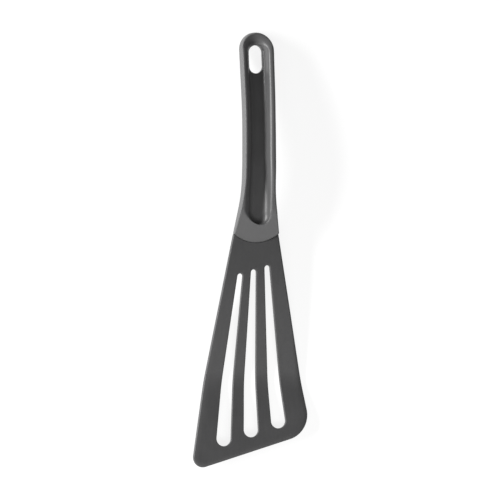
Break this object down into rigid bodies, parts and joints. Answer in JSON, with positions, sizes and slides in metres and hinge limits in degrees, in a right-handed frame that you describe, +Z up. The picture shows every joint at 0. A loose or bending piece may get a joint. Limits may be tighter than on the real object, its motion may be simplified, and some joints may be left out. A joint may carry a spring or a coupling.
{
  "type": "grill spatula",
  "caption": "Moulded turner with a fan-shaped, slotted and slanted blade, a bent heel, and a trough-section grip with a hanging hole.",
  "frame": {"origin": "on the surface the spatula lies on, under the middle of its outline", "axes": "+Z up, out of the open side of the handle's trough; +Y along the spatula from the blade tip to the end of the handle; +X across, towards the short side of the blade"},
  "size_m": [0.0834, 0.3056, 0.0254],
  "materials": {
    "blade_nylon": "dark grey plastic, taken to be glass-filled nylon; satin, with a fine moulded grain",
    "handle_nylon": "dark grey plastic, taken to be glass-filled nylon; smooth satin"
  },
  "bodies": {
    "root": {"blade": "blade_nylon", "handle": "handle_nylon"}
  },
  "joints": []
}
